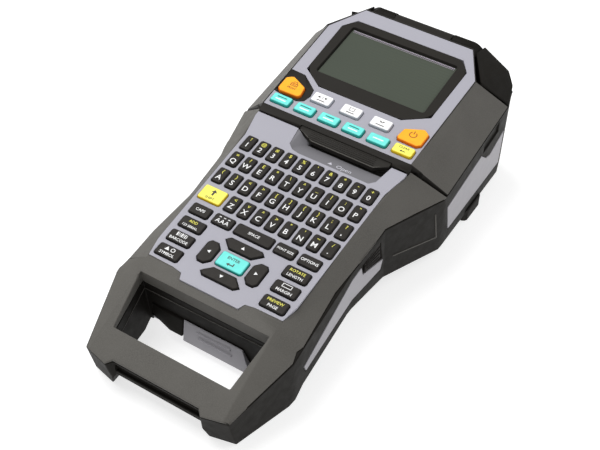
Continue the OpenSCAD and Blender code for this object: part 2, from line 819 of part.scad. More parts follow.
// Latch outline and the pocket for it in the front bar
latch_axis = [26.2, -2];
function latch_outline(grow) = [
    [-19.2 - grow, 23.4], [-9, 18.3 - grow], [28.6, 18.3 - grow], [36.2 + grow, 23.4],
    [36.2 + grow, 27.9 + grow], [-19.2 - grow, 27.9 + grow]
];

module lid_shell() {
    color(warm_grey)
    difference() {
        union() {
            difference() {
                wrap_both([
                    concat(lid_front_inner, lid_top), [lid_front_inner[0], bar_front, -0.4],
                    [lid_front_inner[0], bar_front, lid_low], concat(lid_front_inner, lid_low),
                    concat(lid_front_outer, lid_low), [head_half, 117, lid_low],
                    concat(lid_corner, lid_top), [lid_rear[0], 127, lid_top],
                    [lid_rear[0], 127, lid_low]
                ]);
                // Slanted front edges beside the bar, and the space under the bar
                for (side = [0, 1]) mirror([side, 0, 0])
                    slab([
                        [lid_front_inner[0], 10], lid_front_inner,
                        2 * lid_front_outer - lid_front_inner, [2 * lid_front_outer[0], 10]
                    ], -30, 10);
                box([-70, 10, -30], [70, 31.5, -4.8]);
                for (side = [0, 1]) mirror([side, 0, 0]) slab(corner_notch(0), -30, 10);
                // Hollow wings and underside
                difference() {
                    wrap_both([
                        [45.5, 33.8, -9.4], [51.8, 38, -9.4], [45.5, 33.8, -23],
                        [62.6, 42, -23], [63, 112, -23], [52.4, 106, -9.4],
                        [33, 124.6, -9.4], [33, 124.6, -23]
                    ]);
                    for (side = [0, 1]) mirror([side, 0, 0]) slab(corner_notch(2.2), -30, 10);
                }
                // Tray for the display and the key board
                slab(lid_panel_outline(1.8), -7.6, 10);
                slab(lid_panel_outline(-0.15), lid_top - 2.1, 10);
            }
            // Centre barrel of the hinge and its arm
            rod_x(barrel_r - 0.3, -18.7, 18.7, hinge_y, hinge_z);
            box([-18.7, 124.5, -9.4], [18.7, hinge_y, -1]);
            // Surround of the print key
            intersection() {
                slab(surround_outline(0), -5.2, lid_top);
                slab(lid_panel_outline(-0.15), -5.2, lid_top);
            }
        }
        for (side = [0, 1]) mirror([side, 0, 0]) slab(power_outline(key_gap), -6, 10);
        slab(latch_outline(0.4), -4.1, 0.2);
        for (x = [-13, 30]) rod_x(1.25, x - 8.4, x + 8.4, latch_axis[0], latch_axis[1]);
        rod_x(pin_r + 0.06, -39, 39, hinge_y, hinge_z);
    }
}

module lid_panel() {
    color(light_grey)
    difference() {
        slab(lid_panel_outline(0), lid_top - 2, lid_top);
        translate([0, 0, -5]) linear_extrude(20) lid_openings_2d();
        slab(bezel_outline(0.15), -5, 10);
        slab(surround_outline(0.15), -5, 10);
    }
}

module screen_bezel() {
    color(black)
    difference() {
        slab(bezel_outline(0), lid_top - 2, lid_top + 0.25);
        translate([0, 87.1, -5]) linear_extrude(20) square([screen_w, screen_l], center = true);
    }
}

module lcd_module() {
    color([0.33, 0.36, 0.32]) {
        translate([0, 87.1, -7]) linear_extrude(6.2) square([75, 50], center = true);
        // Glass that stands up in the bezel's window
        translate([0, 87.1, -1]) linear_extrude(1.2)
            square([screen_w - 0.5, screen_l - 0.5], center = true);
    }
}

module lid_board() {
    color(board_green) slab(both([[43, 33.5], [44, 58.5]]), -7, -5.6);
}

module lid_latch() {
    color(black) {
        intersection() {
            slab(latch_outline(0), -3.6, 0);
            side_slab([[17, -3.6], [17, -1.2], [18.6, -0.7], [24, -0.3], [28, -0.3], [28, -3.6]],
                -60, 60);
        }
        for (x = [-13, 30]) rod_x(1.2, x - 8, x + 8, latch_axis[0], latch_axis[1]);
    }
}

// ---- The assembly ---------------------------------------------------------

seat() upper_case();
seat() lower_case();
seat() deck_panel();
seat() head_trims();
seat() waist_trims();
seat() rear_feet();
seat() port_cover();
seat() battery_cover();
seat() battery_pack();
seat() main_board();
seat() key_mat();
seat() case_screws();
seat() hinge_pin();
seat() tape_cartridge();
seat() tape_spool();
seat() ribbon_spool();
seat() platen_roller();
seat() print_head();
seat() feed_motor();
seat() motor_pinion();
seat() drive_gear();
seat() cutter_blade();
seat() lid_shell();
seat() lid_panel();
seat() screen_bezel();
seat() lcd_module();
seat() lid_board();
seat() lid_latch();
seat() number_keys();
seat() qwerty_keys();
seat() asdf_keys();
seat() zxcv_keys();
seat() shift_key();
seat() caps_key();
seat() accent_key();
seat() space_key();
seat() font_size_key();
seat() text_options_key();
seat() serial_key();
seat() barcode_key();
seat() symbol_key();
seat() length_key();
seat() margin_key();
seat() page_key();
seat() enter_key();
seat() up_key();
seat() down_key();
seat() left_key();
seat() right_key();
seat() print_key();
seat() power_key();
seat() clear_key();
seat() mode_key(0);  // mode_key_1
seat() mode_key(1);  // mode_key_2
seat() mode_key(2);  // mode_key_3
seat() mode_key(3);  // mode_key_4
seat() mode_key(4);  // mode_key_5
seat() menu_key(0);  // menu_key_1
seat() menu_key(1);  // menu_key_2
seat() menu_key(2);  // menu_key_3
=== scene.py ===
"""Looks of a rugged handheld label printer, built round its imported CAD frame.

Shapes are made in deck units: millimetres, key tops on z = 0, +Y towards the display.
DECK turns them into the frame's metres.
"""

import json
import math

import bmesh
import bpy
from mathutils import Matrix, Vector
from mathutils.geometry import convex_hull_2d


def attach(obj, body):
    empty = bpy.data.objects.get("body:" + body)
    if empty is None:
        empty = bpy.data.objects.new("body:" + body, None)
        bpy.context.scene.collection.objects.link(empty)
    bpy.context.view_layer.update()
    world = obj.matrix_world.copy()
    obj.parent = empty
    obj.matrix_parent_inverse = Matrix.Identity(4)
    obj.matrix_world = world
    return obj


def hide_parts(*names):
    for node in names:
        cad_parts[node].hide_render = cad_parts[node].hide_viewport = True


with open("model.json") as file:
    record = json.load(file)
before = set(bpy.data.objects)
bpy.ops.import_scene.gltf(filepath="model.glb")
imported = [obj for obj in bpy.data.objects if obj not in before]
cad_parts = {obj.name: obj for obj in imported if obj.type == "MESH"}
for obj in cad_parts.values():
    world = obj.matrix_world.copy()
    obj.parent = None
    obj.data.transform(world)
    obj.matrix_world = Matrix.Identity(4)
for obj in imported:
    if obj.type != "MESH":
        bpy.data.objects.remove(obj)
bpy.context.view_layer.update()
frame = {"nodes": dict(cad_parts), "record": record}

nodes = frame["nodes"]
behaviour = frame["record"]["behaviour"]
joints = {joint["name"]: joint for joint in behaviour["joints"]}
body_of = {node: body for body, members in behaviour["bodies"].items() for node in members}


# ---- The deck's own axes ----------------------------------------------------

def corners(points):
    """Lowest and highest corner of some points."""
    low = Vector([min(p[i] for p in points) for i in range(3)])
    high = Vector([max(p[i] for p in points) for i in range(3)])
    return low, high


def turn_to(normal):
    """Turn that sets the z axis along a normal and keeps the x axis."""
    across = Vector((1, 0, 0))
    return Matrix((across, normal.cross(across), normal)).transposed().to_4x4()


def deck_matrix():
    """From deck millimetres to the frame's metres, read from the number keys."""
    turn = turn_to(-Vector(joints["number_keys_press"]["axis"]))
    low, high = corners([turn.inverted() @ v.co for v in nodes["number_keys"].data.vertices])
    origin = Vector((0, (low.y + high.y) / 2, high.z))
    return turn @ Matrix.Translation(origin) @ Matrix.Scale(0.001, 4)


DECK = deck_matrix()
TO_DECK = DECK.inverted()
DECK_TURN = DECK.to_3x3().normalized()


def welded(node):
    """The node's CAD mesh in deck units, with its doubled corners joined."""
    bm = bmesh.new()
    bm.from_mesh(nodes[node].data)
    bm.transform(TO_DECK)
    bmesh.ops.remove_doubles(bm, verts=bm.verts, dist=0.002)
    return bm


def deck_box(node):
    """Lowest and highest corner of a CAD node in deck units."""
    return corners([TO_DECK @ v.co for v in nodes[node].data.vertices])


def solids(node):
    """The points of each separate solid of a CAD node, from left to right."""
    bm = welded(node)
    left = set(bm.verts)
    groups = []
    while left:
        reach = [left.pop()]
        group = []
        while reach:
            vert = reach.pop()
            group.append(vert.co.copy())
            for edge in vert.link_edges:
                other = edge.other_vert(vert)
                if other in left:
                    left.remove(other)
                    reach.append(other)
        groups.append(group)
    bm.free()
    return sorted(groups, key=lambda group: corners(group)[0].x)


# ---- Materials --------------------------------------------------------------

def linear(red, green, blue):
    """Scene colour of a display colour given in 0 to 255."""
    steps = [channel / 255 for channel in (red, green, blue)]
    return tuple(c / 12.92 if c < 0.04045 else ((c + 0.055) / 1.055) ** 2.4 for c in steps)


def scaled(colour, factor):
    """The colour, lighter or darker."""
    return tuple(min(1.0, channel * factor) for channel in colour)


class Nodes:
    """A short way to write a material's node tree."""

    def __init__(self, name):
        self.material = bpy.data.materials.new(name)
        self.material.use_nodes = True
        self.tree = self.material.node_tree
        self.shader = self.tree.nodes["Principled BSDF"]
        self.place = self.add("ShaderNodeTexCoord").outputs["Object"]

    def add(self, kind, **settings):
        node = self.tree.nodes.new(kind)
        for key, value in settings.items():
            setattr(node, key, value)
        return node

    def link(self, source, target):
        self.tree.links.new(source, target)

    def noise(self, per_mm, detail=2.0, stretch=None):
        """Noise whose grains are 1 / per_mm millimetres across."""
        node = self.add("ShaderNodeTexNoise")
        node.inputs["Scale"].default_value = per_mm * 1000
        node.inputs["Detail"].default_value = detail
        place = self.place
        if stretch:
            mapping = self.add("ShaderNodeMapping")
            mapping.inputs["Scale"].default_value = stretch
            self.link(place, mapping.inputs["Vector"])
            place = mapping.outputs["Vector"]
        self.link(place, node.inputs["Vector"])
        return node.outputs["Fac"]

    def spread(self, value, low, high, start=0.3, end=0.7):
        """A value that runs from start to end, stretched to run from low to high."""
        node = self.add("ShaderNodeMapRange")
        node.inputs["From Min"].default_value = start
        node.inputs["From Max"].default_value = end
        node.inputs["To Min"].default_value = low
        node.inputs["To Max"].default_value = high
        self.link(value, node.inputs["Value"])
        return node.outputs["Result"]

    def mix(self, factor, first, second):
        """Colour between two others. Each is a colour or another node's output."""
        node = self.add("ShaderNodeMix", data_type="RGBA")
        self.link(factor, node.inputs["Factor"])
        for socket, colour in ((node.inputs["A"], first), (node.inputs["B"], second)):
            if isinstance(colour, tuple):
                socket.default_value = (*colour, 1)
            else:
                self.link(colour, socket)
        return node.outputs["Result"]

    def finish(self, colour, rough, normal, specular=None):
        """Sets the colour, the roughness and the bump, and returns the material."""
        inputs = self.shader.inputs
        self.link(colour, inputs["Base Color"])
        if isinstance(rough, float):
            inputs["Roughness"].default_value = rough
        else:
            self.link(rough, inputs["Roughness"])
        self.link(normal, inputs["Normal"])
        if specular is not None:
            inputs["Specular IOR Level"].default_value = specular
        return self.material

    def bump(self, height, depth, under=None):
        """Bump of some millimetres."""
        node = self.add("ShaderNodeBump")
        node.inputs["Distance"].default_value = depth / 1000
        node.inputs["Strength"].default_value = 1
        self.link(height, node.inputs["Height"])
        if under:
            self.link(under, node.inputs["Normal"])
        return node.outputs["Normal"]


def moulded_plastic(name, colour, rough, grain=0.02, per_mm=2.6, mottle=0.08, specular=0.12):
    """Plastic with the fine spark-eroded grain of a tool's case."""
    made = Nodes(name)
    patches = made.spread(made.noise(0.045, 4), 0, 1)
    flecks = made.spread(made.noise(per_mm * 1.3, 1), 0, 1)
    base = made.mix(patches, scaled(colour, 1 - mottle), scaled(colour, 1 + mottle))
    shine = made.spread(made.noise(0.2, 3), rough - 0.05, rough + 0.06)
    coarse = made.bump(made.noise(per_mm, 2), grain)
    fine = made.bump(made.noise(per_mm * 2.7, 1), grain * 0.35, coarse)
    return made.finish(made.mix(flecks, base, scaled(colour, 1 + 1.6 * mottle)), shine, fine, specular)


def key_rubber(name, colour, edge):
    """Silicone rubber: soft, with painted shade that deepens its colour down its sides."""
    made = Nodes(name)
    face = made.add("ShaderNodeNewGeometry")
    split = made.add("ShaderNodeVectorMath", operation="DOT_PRODUCT")
    made.link(face.outputs["Normal"], split.inputs[0])
    split.inputs[1].default_value = tuple(DECK_TURN @ Vector((0, 0, 1)))
    # Painted shade: faces that turn away from the deck's up take the darker edge colour.
    upward = made.spread(split.outputs["Value"], 0, 1, 0.55, 0.97)
    dust = made.spread(made.noise(0.3, 4), 0, 1)
    top = made.mix(dust, scaled(colour, 0.96), scaled(colour, 1.05))
    shine = made.spread(made.noise(0.5, 2), 0.47, 0.59)
    return made.finish(made.mix(upward, edge, top), shine, made.bump(made.noise(5, 2), 0.006), 0.15)


def printed_ink(name, colour):
    """Screen-printed ink, slightly uneven."""
    made = Nodes(name)
    uneven = made.spread(made.noise(1.5, 3), 0, 1)
    ink = made.mix(uneven, scaled(colour, 0.9), colour)
    return made.finish(ink, 0.5, made.bump(made.noise(6, 1), 0.003))


def display_film(name):
    """Unlit reflective display: grey-green, with its fine grid of dots."""
    made = Nodes(name)
    cloud = made.spread(made.noise(0.012, 1), 0, 1)
    dots = made.add("ShaderNodeTexVoronoi", feature="F1", distance="CHEBYCHEV")
    dots.inputs["Scale"].default_value = 2600
    dots.inputs["Randomness"].default_value = 0
    made.link(made.place, dots.inputs["Vector"])
    grid = made.spread(dots.outputs["Distance"], 0, 1, 0.40, 0.46)
    ground = made.mix(cloud, linear(70, 76, 67), linear(77, 83, 73))
    film = made.mix(grid, ground, linear(71, 76, 68))
    return made.finish(film, 0.4, made.bump(made.noise(2, 2), 0.001), 0.12)


def bare_metal(name, colour, rough):
    """Brushed or turned metal, with its marks drawn out along one axis."""
    made = Nodes(name)
    marks = made.noise(0.8, 5, stretch=(1, 1, 12))
    made.shader.inputs["Metallic"].default_value = 1
    brushed = made.mix(made.spread(marks, 0, 1), scaled(colour, 0.82), colour)
    shine = made.spread(marks, rough - 0.08, rough + 0.1)
    return made.finish(brushed, shine, made.bump(marks, 0.004))


def wound_tape(name, colour, centre):
    """Side of a roll: rings of wound tape about an axis along the deck's normal."""
    made = Nodes(name)
    mapping = made.add("ShaderNodeMapping", vector_type="TEXTURE")
    mapping.inputs["Location"].default_value = tuple(DECK @ Vector(centre))
    mapping.inputs["Rotation"].default_value = tuple(DECK.to_euler())
    made.link(made.place, mapping.inputs["Vector"])
    rings = made.add("ShaderNodeTexWave", wave_type="RINGS", rings_direction="Z")
    rings.inputs["Scale"].default_value = 900
    rings.inputs["Distortion"].default_value = 0.4
    made.link(mapping.outputs["Vector"], rings.inputs["Vector"])
    wound = made.mix(rings.outputs["Fac"], scaled(colour, 0.8), colour)
    shine = made.spread(made.noise(0.6, 2), 0.35, 0.5)
    return made.finish(wound, shine, made.bump(rings.outputs["Fac"], 0.02))


def circuit_board(name):
    """Solder mask over a haze of tracks."""
    made = Nodes(name)
    tracks = made.add("ShaderNodeTexBrick")
    tracks.inputs["Scale"].default_value = 260
    tracks.inputs["Mortar Size"].default_value = 0.03
    tracks.inputs["Color1"].default_value = (*linear(18, 82, 46), 1)
    tracks.inputs["Color2"].default_value = (*linear(22, 92, 52), 1)
    tracks.inputs["Mortar"].default_value = (*linear(46, 128, 76), 1)
    made.link(made.place, tracks.inputs["Vector"])
    shine = made.spread(made.noise(0.4, 2), 0.25, 0.4)
    return made.finish(tracks.outputs["Color"], shine, made.bump(tracks.outputs["Fac"], 0.03))


LOOKS = {
    "warm_case": moulded_plastic("warm_case", linear(90, 88, 84), 0.56, grain=0.03,
                                 per_mm=1.5, mottle=0.11),
    "dark_case": moulded_plastic("dark_case", linear(26, 24, 21), 0.55, grain=0.03,
                                 per_mm=1.8, mottle=0.07, specular=0.07),
    "panel": moulded_plastic("panel", linear(165, 164, 173), 0.46, grain=0.008, mottle=0.015),
    # recess: the panel's grey darkened as painted shade for the tilted floor of the finger recess.
    "recess": moulded_plastic("recess", linear(118, 117, 121), 0.5, grain=0.01, mottle=0.02),
    "strip": moulded_plastic("strip", linear(161, 159, 164), 0.44, grain=0.01, mottle=0.02),
    "gloss_black": moulded_plastic("gloss_black", linear(40, 38, 35), 0.42, grain=0.006, mottle=0.04),
    "inner_black": moulded_plastic("inner_black", linear(34, 32, 30), 0.6, grain=0.02, mottle=0.05),
    "cream": moulded_plastic("cream", linear(214, 212, 205), 0.42, grain=0.01, mottle=0.02),
    "acetal": moulded_plastic("acetal", linear(232, 230, 222), 0.35, grain=0.004, mottle=0.015),
    "soft_black": moulded_plastic("soft_black", linear(40, 38, 36), 0.72, grain=0.02, per_mm=4),
    # Each key rubber's last colour is painted shade for the sides of its caps.
    "key_black": key_rubber("key_black", linear(44, 41, 38), linear(36, 34, 32)),
    "key_yellow": key_rubber("key_yellow", linear(255, 246, 110), linear(232, 196, 40)),
    "key_teal": key_rubber("key_teal", linear(118, 228, 220), linear(52, 170, 160)),
    "key_orange": key_rubber("key_orange", linear(255, 178, 48), linear(238, 118, 20)),
    "key_white": key_rubber("key_white", linear(250, 250, 252), linear(186, 188, 196)),
    "white_ink": printed_ink("white_ink", linear(240, 240, 240)),
    "yellow_ink": printed_ink("yellow_ink", linear(226, 220, 84)),
    "dark_ink": printed_ink("dark_ink", linear(58, 52, 40)),
    "grey_ink": printed_ink("grey_ink", linear(206, 205, 214)),
    "orange_ink": printed_ink("orange_ink", linear(150, 64, 16)),
    "teal_ink": printed_ink("teal_ink", linear(22, 120, 116)),
    "display": display_film("display"),
    "lilac_dots": printed_ink("lilac_dots", linear(178, 164, 184)),
    "steel": bare_metal("steel", linear(190, 190, 194), 0.34),
    "tape_roll": wound_tape("tape_roll", linear(236, 236, 232), (20.5, 81, 0)),
    "ribbon_roll": wound_tape("ribbon_roll", linear(38, 36, 38), (-12, 98, 0)),
    "circuit_board": circuit_board("circuit_board"),
}


# ---- Making pieces ----------------------------------------------------------

SHARP_ANGLE = math.radians(40)      # edges sharper than this keep a crease in the shading
MOULDED_ANGLE = math.radians(24)    # edges sharper than this are rounded on the case
FLAT_ANGLE = math.radians(0.2)      # facets that turn less than this become one face


def piece(name, bm, look, body, smooth=True, replaces=()):
    """Finishes a mesh in deck units and hangs it on its body."""
    bmesh.ops.recalc_face_normals(bm, faces=bm.faces)
    bm.transform(DECK)
    mesh = bpy.data.meshes.new(name)
    bm.to_mesh(mesh)
    bm.free()
    made = bpy.data.objects.new(name, mesh)
    bpy.context.scene.collection.objects.link(made)
    for each in [look] if isinstance(look, str) else look:
        mesh.materials.append(LOOKS[each])
    if smooth:
        mesh.shade_smooth()
        mesh.set_sharp_from_angle(angle=SHARP_ANGLE)
    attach(made, body)
    if replaces:
        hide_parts(*replaces)
    return made


def stand_in(name, bm, look, node):
    """A piece shown in place of a CAD node, with its flat faces evenly shaded."""
    made = piece(name, bm, look, body_of[node], replaces=(node,))
    made.modifiers.new("flat_faces", "WEIGHTED_NORMAL").keep_sharp = True


def soften(node, radius, look, min_length=0, second=None, sharp=None):
    """Stands a copy of a CAD shell in its place, with its moulded edges rounded.

    second, if given, says for a face's middle and normal whether it takes the second look.
    sharp, if given, says for a place whether the edges and corners there stay as they are.
    """
    bm = welded(node)
    stays = sharp or (lambda place: False)

    def loose_edges():
        return [e for e in bm.edges if not stays((e.verts[0].co + e.verts[1].co) / 2)]

    bmesh.ops.dissolve_limit(bm, angle_limit=FLAT_ANGLE, edges=loose_edges(),
                             verts=[v for v in bm.verts if not stays(v.co)])
    edges = [e for e in loose_edges() if len(e.link_faces) == 2
             and e.calc_face_angle(0) > MOULDED_ANGLE and e.calc_length() > min_length]
    bmesh.ops.bevel(bm, geom=edges, offset=radius, offset_type="OFFSET", segments=3,
                    profile=0.5, affect="EDGES", clamp_overlap=False, harden_normals=False)
    if second:
        bm.normal_update()
        for face in bm.faces:
            face.material_index = int(second(face.calc_center_median(), face.normal))
    bmesh.ops.triangulate(bm, faces=[f for f in bm.faces if len(f.verts) > 4])
    stand_in(node + "_moulding", bm, look, node)


def join_rings(bm, first, second):
    """Band of faces between two closed rings of the same number of corners."""
    for i in range(len(first)):
        j = (i + 1) % len(first)
        bm.faces.new((first[i], first[j], second[j], second[i]))


def quarter_round(high, radius, steps):
    """Heights of a rounded shoulder, each with how far it has moved inwards."""
    angles = [math.radians(90) * k / steps for k in range(1, steps + 1)]
    return [(high - radius * (1 - math.sin(a)), radius * (1 - math.cos(a))) for a in angles]


def rectangle(low, high):
    return [Vector((low.x, low.y)), Vector((high.x, low.y)),
            Vector((high.x, high.y)), Vector((low.x, high.y))]


def add_prism(bm, outline, low, high):
    """Closed prism of a flat outline between two heights."""
    bottom = [bm.verts.new((x, y, low)) for x, y in outline]
    top = [bm.verts.new((x, y, high)) for x, y in outline]
    bm.faces.new(bottom[::-1])
    bm.faces.new(top)
    join_rings(bm, bottom, top)


def add_box(bm, low, high):
    """Box between two corners."""
    middle = (Vector(low) + Vector(high)) / 2
    size = Vector(high) - Vector(low)
    for vert in bmesh.ops.create_cube(bm, size=1)["verts"]:
        vert.co = middle + Vector([vert.co[i] * size[i] for i in range(3)])


def rounded_bar(bm, start, end, radius):
    """Half-buried round bar with round ends, for ridges and raised lines."""
    steps = 10
    start, end = Vector(start), Vector(end)
    along = (end - start).normalized()
    side = along.cross(Vector((0, 0, 1))).normalized()
    rise = side.cross(along)
    rings = []
    for cap, sign in ((start, -1), (end, 1)):
        angles = [math.radians(a) for a in (80, 45, 0)]
        if sign > 0:
            angles = angles[::-1]
        for a in angles:
            middle = cap + along * (sign * radius * math.sin(a))
            r = radius * math.cos(a)
            rings.append([bm.verts.new(middle + side * (r * math.cos(t)) + rise * (r * math.sin(t)))
                          for t in [2 * math.pi * k / steps for k in range(steps)]])
    for first, second in zip(rings, rings[1:]):
        join_rings(bm, first, second)
    bm.faces.new(rings[0][::-1])
    bm.faces.new(rings[-1])


def raised_line(name, points, radius, look, body):
    """Round bars from point to point, as one piece."""
    bm = bmesh.new()
    for start, end in zip(points, points[1:]):
        rounded_bar(bm, start, end, radius)
    piece(name, bm, look, body)


# ---- Keys -------------------------------------------------------------------

INK_DEPTH = 0.03    # half the thickness of a printed sign
INK_LIFT = 0.01     # height of its middle over the key


def outline_of(points):
    """Outline, seen from above, of the convex solid that the points belong to."""
    flat = [Vector((p.x, p.y)) for p in points]
    return [flat[i] for i in convex_hull_2d(flat)]


def rounded(outline, radius):
    """The outline with each sharp corner turned into an arc."""
    steps = 5
    made = []
    count = len(outline)
    for i, corner in enumerate(outline):
        before = outline[i - 1] - corner
        after = outline[(i + 1) % count] - corner
        half = before.angle(after) / 2
        reach = min(radius / math.tan(half), before.length * 0.48, after.length * 0.48)
        r = reach * math.tan(half)
        middle = corner + (before.normalized() + after.normalized()).normalized() * (r / math.sin(half))
        first = corner + before.normalized() * reach - middle
        last = corner + after.normalized() * reach - middle
        sweep = first.angle_signed(last)
        for k in range(steps + 1):
            made.append(middle + Matrix.Rotation(-sweep * k / steps, 2) @ first)
    return made


def inset(outline, distance):
    """A convex outline moved inwards by a distance."""
    count = len(outline)
    made = []
    for i, point in enumerate(outline):
        back = (point - outline[i - 1]).normalized()
        on = (outline[(i + 1) % count] - point).normalized()
        normals = [Vector((-d.y, d.x)) for d in (back, on)]
        bisector = (normals[0] + normals[1]).normalized()
        made.append(point + bisector * (distance / max(0.5, bisector.dot(normals[0]))))
    return made


def spread_corners(outline):
    """The outline, anticlockwise, without points that lie on top of each other."""
    apart = 0.05
    kept = [p for i, p in enumerate(outline) if (p - outline[i - 1]).length > apart]
    turning = sum(a.x * b.y - b.x * a.y for a, b in zip(kept, kept[1:] + kept[:1]))
    return kept if turning > 0 else kept[::-1]


def add_cap(bm, outline, corner, low, high, fillet):
    """Key cap: straight skirt, a little taper, a rounded shoulder and a flat top."""
    taper = 0.12
    levels = [(low, 0.0), (high - fillet - 0.5, 0.02), (high - fillet, taper)]
    levels += [(z, taper + distance) for z, distance in quarter_round(high, fillet, 5)]
    rings = []
    for z, distance in levels:
        ring = rounded(inset(outline, distance), max(corner - distance, 0.25))
        rings.append([bm.verts.new((p.x, p.y, z)) for p in ring])
    for first, second in zip(rings, rings[1:]):
        join_rings(bm, first, second)
    bm.faces.new(rings[0][::-1])
    bm.faces.new(rings[-1])


def caps(node, look, corner=1.3, fillet=0.75, boxed=True):
    """Rounded rubber caps in place of a key node. Returns where each cap's legend goes."""
    bm = bmesh.new()
    middles = []
    for points in solids(node):
        low, high = corners(points)
        outline = rectangle(low, high) if boxed else spread_corners(outline_of(points))
        add_cap(bm, outline, corner, low.z, high.z, fillet)
        middles.append(Vector(((low.x + high.x) / 2, (low.y + high.y) / 2, high.z + INK_LIFT)))
    stand_in(node + "_caps", bm, look, node)
    return middles


glyph_meshes = {}


def glyphs(text, size, weight):
    """Outline text as a thin closed mesh, one unit being a millimetre."""
    key = (text, size, weight)
    if key not in glyph_meshes:
        curve = bpy.data.curves.new("glyphs", "FONT")
        curve.body = text
        curve.size = size
        curve.offset = weight
        curve.extrude = INK_DEPTH
        curve.resolution_u = 3
        holder = bpy.data.objects.new("glyphs", curve)
        bpy.context.scene.collection.objects.link(holder)
        bpy.context.view_layer.update()
        graph = bpy.context.evaluated_depsgraph_get()
        glyph_meshes[key] = bpy.data.meshes.new_from_object(holder.evaluated_get(graph))
        bpy.data.objects.remove(holder)
        bpy.data.curves.remove(curve)
    return glyph_meshes[key]


def add_text(bm, text, middle, size, weight=0.03):
    """Adds text centred on a point of its baseline."""
    mesh = glyphs(text, size, weight)
    low, high = corners([v.co for v in mesh.vertices])
    shift = Vector((-(low.x + high.x) / 2, 0, 0))
    count = len(bm.verts)
    bm.from_mesh(mesh)
    bm.verts.ensure_lookup_table()
    for vert in bm.verts[count:]:
        vert.co += shift + Vector(middle)


def add_shape(bm, outline, middle, turn=0.0, size=1.0):
    """Adds a thin flat shape, turned by some degrees about its middle."""
    spin = Matrix.Rotation(math.radians(turn), 2)
    moved = [spin @ Vector(p) * size + Vector(middle[:2]) for p in outline]
    add_prism(bm, moved, middle[2] - INK_DEPTH, middle[2] + INK_DEPTH)


def add_stroke(bm, middle, width, height):
    add_shape(bm, [(-width / 2, -height / 2), (width / 2, -height / 2),
                   (width / 2, height / 2), (-width / 2, height / 2)], middle)


def add_strokes(bm, place, strokes):
    """Adds strokes, each given by its offset from a place, its width and its height."""
    x, y, z = place
    for across, up, width, height in strokes:
        add_stroke(bm, (x + across, y + up, z), width, height)


def legend(name, bm, look, node):
    """Hangs printed signs on their key, if there are any."""
    if bm.faces:
        piece(name, bm, look, body_of[node], smooth=False)
    else:
        bm.free()


TRIANGLE = [(-1, -0.75), (1, -0.75), (0, 0.95)]
ARROW = [(-0.28, -1), (0.28, -1), (0.28, 0.1), (0.8, 0.1), (0, 1), (-0.8, 0.1), (-0.28, 0.1)]

# Each row's letters from left to right, and the yellow signs over them
LETTER_ROWS = {
    "number_keys": ("1234567890", "!@#$%'&*-+"),
    "qwerty_keys": ("QWERTYUIOP", "=?E*\\^_|:\""),
    "asdf_keys": ("ASDFGHJKL,", "()<>[]{};?"),
    "zxcv_keys": ("ZXCVBNM.", "<v^>\"'~/"),
}


def letter_keys():
    for node, (letters, symbols) in LETTER_ROWS.items():
        middles = caps(node, "key_black")
        white, yellow = bmesh.new(), bmesh.new()
        for (x, y, z), letter, symbol in zip(middles, letters, symbols):
            add_text(white, letter, (x, y - 3.3, z), 4.5, 0.045)
            add_text(yellow, symbol, (x + 0.2, y + 1.6, z), 3.1)
        legend(node + "_letters", white, "white_ink", node)
        legend(node + "_symbols", yellow, "yellow_ink", node)


# Each key's word, and the yellow word over it
WORD_KEYS = {
    "caps_key": ("CAPS", None), "accent_key": (None, None), "space_key": ("SPACE", None),
    "font_size_key": ("FONT SIZE", None), "text_options_key": ("OPTIONS", None),
    "serial_key": ("123 SERIAL", "ADD"), "barcode_key": ("BARCODE", None),
    "symbol_key": ("SYMBOL", None), "length_key": ("LENGTH", "ROTATE"),
    "margin_key": ("MARGIN", None), "page_key": ("PAGE", "PREVIEW"),
}


def add_picture(bm, node, x, y, z):
    """Adds the little picture of a word key, if it has one."""
    if node == "accent_key":
        for k in (-1, 0, 1):
            add_text(bm, "A", (x + 2.6 * k, y - 2.1, z), 3.6)
            add_stroke(bm, (x + 2.6 * k, y + 1.6, z), 1.3, 0.45)
    if node == "barcode_key":
        for k, width in enumerate((0.7, 0.3, 0.3, 0.7, 0.3, 0.5, 0.3)):
            add_stroke(bm, (x - 2.7 + 0.9 * k, y + 1.5, z), width, 2.4)
    if node == "symbol_key":
        add_shape(bm, TRIANGLE, (x - 1.6, y + 1.3, z), 0, 1.35)
        add_text(bm, "O", (x + 1.7, y + 0.2, z), 3.4)
    if node == "margin_key":
        add_strokes(bm, (x, y, z), ((0, 2.5, 5, 0.35), (0, 0.6, 5, 0.35),
                                    (-2.5, 1.55, 0.35, 2.2), (2.5, 1.55, 0.35, 2.2)))


def word_keys():
    for node, (word, over) in WORD_KEYS.items():
        x, y, z = caps(node, "key_black")[0]
        white, yellow = bmesh.new(), bmesh.new()
        shared = over or node in ("barcode_key", "symbol_key", "margin_key")
        if word:
            add_text(white, word, (x, y - (2.6 if shared else 0.9), z), 2.35 if len(word) < 9 else 1.95)
        if over:
            add_text(yellow, over, (x, y + 0.5, z), 2.3)
        add_picture(white, node, x, y, z)
        legend(node + "_word", white, "white_ink", node)
        legend(node + "_second_word", yellow, "yellow_ink", node)


def arrow_keys():
    for node, turn in (("up_key", 0), ("left_key", 90), ("down_key", 180), ("right_key", 270)):
        middle = caps(node, "key_black", corner=1.6, boxed=False)[0]
        marks = bmesh.new()
        add_shape(marks, TRIANGLE, middle, turn)
        legend(node + "_arrow", marks, "white_ink", node)


# Bent arrow: a tail that comes down on the right and a head that points left
RETURN_ARROW = [(-2.1, 0), (-0.5, 0.95), (-0.5, 0.3), (1.5, 0.3), (1.5, 1.5), (2.1, 1.5),
                (2.1, -0.3), (-0.5, -0.3), (-0.5, -0.95)]
BACK_ARROW = [(-1.6, 0), (-0.5, 0.8), (-0.5, 0.25), (1.6, 0.25), (1.6, -0.25), (-0.5, -0.25),
              (-0.5, -0.8)]

